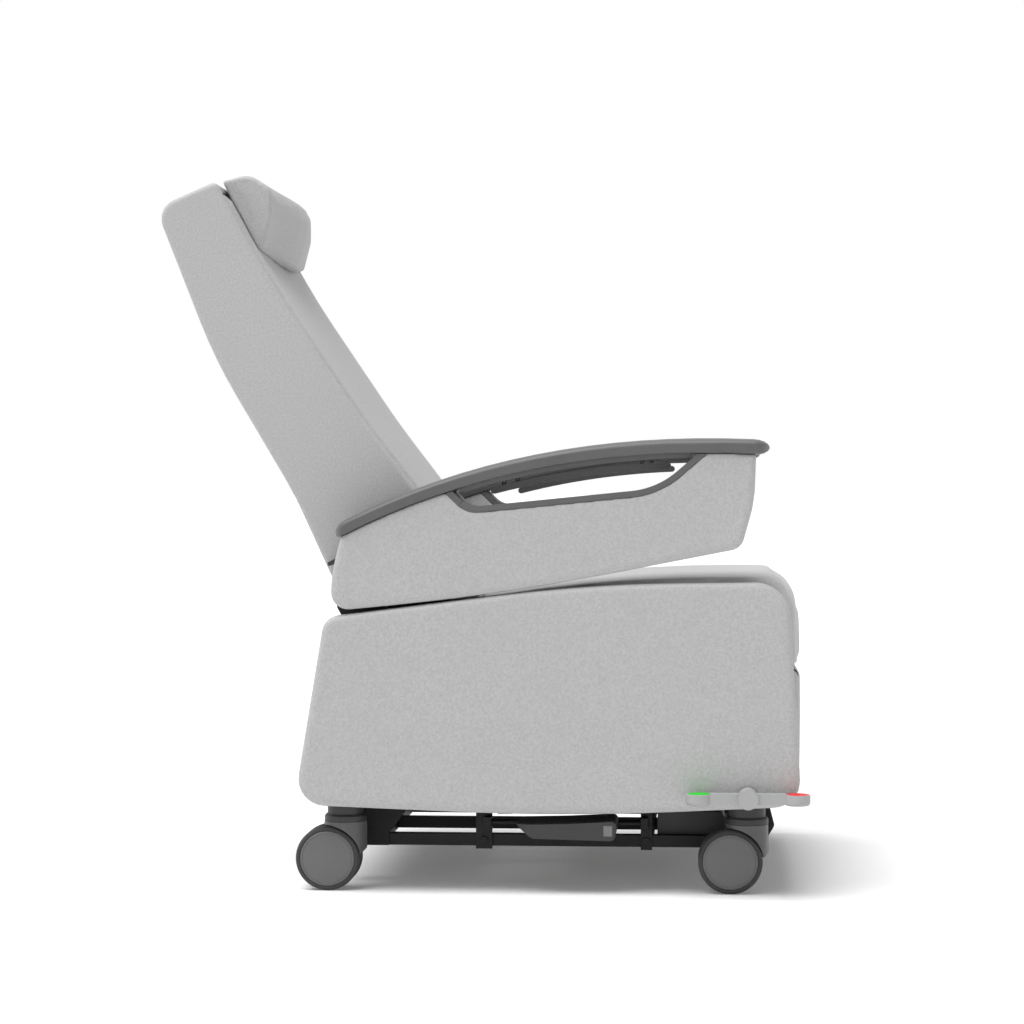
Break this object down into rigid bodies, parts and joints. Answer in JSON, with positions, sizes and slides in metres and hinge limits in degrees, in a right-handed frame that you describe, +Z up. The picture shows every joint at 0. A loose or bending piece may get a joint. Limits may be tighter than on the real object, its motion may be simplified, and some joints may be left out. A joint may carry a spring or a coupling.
{
  "type": "patient recliner",
  "caption": "Upholstered patient recliner on twin-wheel casters with reclining back, sliding headrest, flip-up arms, hinged footrest and central wheel brake.",
  "frame": {"origin": "on the floor, under the centre of the box round the whole chair", "axes": "+X to the chair's front, +Y to its left side, +Z up"},
  "size_m": [1.0246, 0.838, 1.1312],
  "materials": {
    "upholstery": "soft grey coated fabric with a fine mottled grain, satin",
    "frame_steel": "black powder coat",
    "zinc_steel": "zinc plated, satin",
    "grey_moulding": "self-skinned moulding, satin",
    "dark_moulding": "dark grained moulding",
    "caster_plastic": "smooth grey moulding, slight gloss",
    "tyre_rubber": "soft grey tread, matt",
    "pale_plastic": "light grey moulding, satin",
    "green_pad": "bright green pad",
    "red_pad": "bright red pad",
    "deck_board": "plain plywood"
  },
  "bodies": {
    "base": {"chassis_frame": "frame_steel", "caster_sockets": "caster_plastic", "underframe_rails": "frame_steel", "hanger_brackets": "frame_steel", "frame_bolts": "frame_steel", "linkage_cover": "dark_moulding", "seat_frame": "frame_steel", "seat_posts": "frame_steel", "seat_deck": "deck_board", "base_side_left": "upholstery", "base_side_right": "upholstery", "base_rear_cover": "upholstery", "seat_cushion": "upholstery", "side_plate_left": "frame_steel", "side_plate_right": "frame_steel", "pivot_pins": "zinc_steel", "footrest_hinges": "frame_steel", "pedal_rods": "frame_steel"},
    "footrest": {"footrest_board": "frame_steel", "footrest_pad": "upholstery"},
    "back": {"back_frame": "frame_steel", "back_body": "upholstery", "back_cushion": "upholstery"},
    "headrest": {"headrest": "upholstery", "headrest_blade": "frame_steel"},
    "brake_front": {"brake_shaft_front": "zinc_steel", "brake_pedal_left": "pale_plastic", "brake_pedal_right": "pale_plastic", "brake_pads_green": "green_pad", "brake_pads_red": "red_pad"},
    "brake_rear": {"brake_shaft_rear": "zinc_steel"},
    "brake_link": {"brake_rod": "zinc_steel"},
    "caster_fl": {"caster_fork_fl": "caster_plastic"},
    "wheels_fl": {"caster_rims_fl": "caster_plastic", "caster_tyres_fl": "tyre_rubber"},
    "caster_fr": {"caster_fork_fr": "caster_plastic"},
    "wheels_fr": {"caster_rims_fr": "caster_plastic", "caster_tyres_fr": "tyre_rubber"},
    "caster_rl": {"caster_fork_rl": "caster_plastic"},
    "wheels_rl": {"caster_rims_rl": "caster_plastic", "caster_tyres_rl": "tyre_rubber"},
    "caster_rr": {"caster_fork_rr": "caster_plastic"},
    "wheels_rr": {"caster_rims_rr": "caster_plastic", "caster_tyres_rr": "tyre_rubber"},
    "arm_left": {"arm_frame_left": "frame_steel", "arm_panel_left": "upholstery", "arm_cap_left": "grey_moulding", "arm_trim_left": "grey_moulding"},
    "release_left": {"release_bar_left": "grey_moulding"},
    "latch_left": {"arm_latch_left": "dark_moulding"},
    "release_pedal_left": {"foot_pedal_left": "grey_moulding", "pedal_insert_left": "pale_plastic"},
    "arm_right": {"arm_frame_right": "frame_steel", "arm_panel_right": "upholstery", "arm_cap_right": "grey_moulding", "arm_trim_right": "grey_moulding"},
    "release_right": {"release_bar_right": "grey_moulding"},
    "latch_right": {"arm_latch_right": "dark_moulding"},
    "release_pedal_right": {"foot_pedal_right": "grey_moulding", "pedal_insert_right": "pale_plastic"}
  },
  "joints": [
    {"name": "swivel_fl", "type": "hinge", "parent": "base", "child": "caster_fl", "pos_m": [0.418, 0.32, 0.107], "axis": [0, 0, 1], "continuous": true},
    {"name": "roll_fl", "type": "hinge", "parent": "caster_fl", "child": "wheels_fl", "pos_m": [0.392, 0.32, 0.05], "axis": [0, 1, 0], "continuous": true},
    {"name": "swivel_fr", "type": "hinge", "parent": "base", "child": "caster_fr", "pos_m": [0.418, -0.32, 0.107], "axis": [0, 0, 1], "continuous": true},
    {"name": "roll_fr", "type": "hinge", "parent": "caster_fr", "child": "wheels_fr", "pos_m": [0.392, -0.32, 0.05], "axis": [0, 1, 0], "continuous": true},
    {"name": "swivel_rl", "type": "hinge", "parent": "base", "child": "caster_rl", "pos_m": [-0.21, 0.32, 0.107], "axis": [0, 0, 1], "continuous": true},
    {"name": "roll_rl", "type": "hinge", "parent": "caster_rl", "child": "wheels_rl", "pos_m": [-0.236, 0.32, 0.05], "axis": [0, 1, 0], "continuous": true},
    {"name": "swivel_rr", "type": "hinge", "parent": "base", "child": "caster_rr", "pos_m": [-0.21, -0.32, 0.107], "axis": [0, 0, 1], "continuous": true},
    {"name": "roll_rr", "type": "hinge", "parent": "caster_rr", "child": "wheels_rr", "pos_m": [-0.236, -0.32, 0.05], "axis": [0, 1, 0], "continuous": true},
    {"name": "recline", "type": "hinge", "parent": "base", "child": "back", "pos_m": [-0.16, 0, 0.462], "axis": [0, -1, 0], "range_deg": [-13, 30]},
    {"name": "headrest_height", "type": "slide", "parent": "back", "child": "headrest", "axis": [-0.4717, 0, 0.8818], "range_m": [0, 0.08]},
    {"name": "footrest_lift", "type": "hinge", "parent": "base", "child": "footrest", "pos_m": [0.488, 0, 0.338], "axis": [0, -1, 0], "range_deg": [0, 85]},
    {"name": "brake", "type": "hinge", "parent": "base", "child": "brake_front", "pos_m": [0.418, 0, 0.1545], "axis": [0, 1, 0], "range_deg": [-12, 12]},
    {"name": "brake_rear", "type": "hinge", "parent": "base", "child": "brake_rear", "pos_m": [-0.21, 0, 0.1545], "axis": [0, 1, 0], "range_deg": [-12, 12]},
    {"name": "brake_link", "type": "hinge", "parent": "brake_front", "child": "brake_link", "pos_m": [0.418, 0.073, 0.1245], "axis": [0, 1, 0], "range_deg": [-12, 12]},
    {"name": "arm_lift_left", "type": "hinge", "parent": "base", "child": "arm_left", "pos_m": [-0.201, 0.336, 0.469], "axis": [0, -1, 0], "range_deg": [0, 80]},
    {"name": "release_press_left", "type": "slide", "parent": "arm_left", "child": "release_left", "axis": [0, 0, 1], "range_m": [0, 0.004], "stiffness_N_per_m": 800, "springref_m": -0.004},
    {"name": "latch_pull_left", "type": "hinge", "parent": "arm_left", "child": "latch_left", "pos_m": [-0.207, 0.2945, 0.542], "axis": [0, 1, 0], "range_deg": [0, 15], "stiffness_Nm_per_rad": 0.05, "springref_deg": -11.46},
    {"name": "release_pedal_left", "type": "hinge", "parent": "base", "child": "release_pedal_left", "pos_m": [0.14, 0.246, 0.097], "axis": [-1, 0, 0], "range_deg": [0, 12], "stiffness_Nm_per_rad": 6, "springref_deg": -11.46},
    {"name": "arm_lift_right", "type": "hinge", "parent": "base", "child": "arm_right", "pos_m": [-0.201, -0.336, 0.469], "axis": [0, -1, 0], "range_deg": [0, 80]},
    {"name": "release_press_right", "type": "slide", "parent": "arm_right", "child": "release_right", "axis": [0, 0, 1], "range_m": [0, 0.004], "stiffness_N_per_m": 800, "springref_m": -0.004},
    {"name": "latch_pull_right", "type": "hinge", "parent": "arm_right", "child": "latch_right", "pos_m": [-0.207, -0.2945, 0.542], "axis": [0, 1, 0], "range_deg": [0, 15], "stiffness_Nm_per_rad": 0.05, "springref_deg": -11.46},
    {"name": "release_pedal_right", "type": "hinge", "parent": "base", "child": "release_pedal_right", "pos_m": [0.14, -0.246, 0.097], "axis": [1, 0, 0], "range_deg": [0, 12], "stiffness_Nm_per_rad": 6, "springref_deg": -11.46}
  ],
  "couplings": [
    {"joint": "brake_rear", "follows": "brake", "ratio": 1},
    {"joint": "brake_link", "follows": "brake", "ratio": -1}
  ]
}
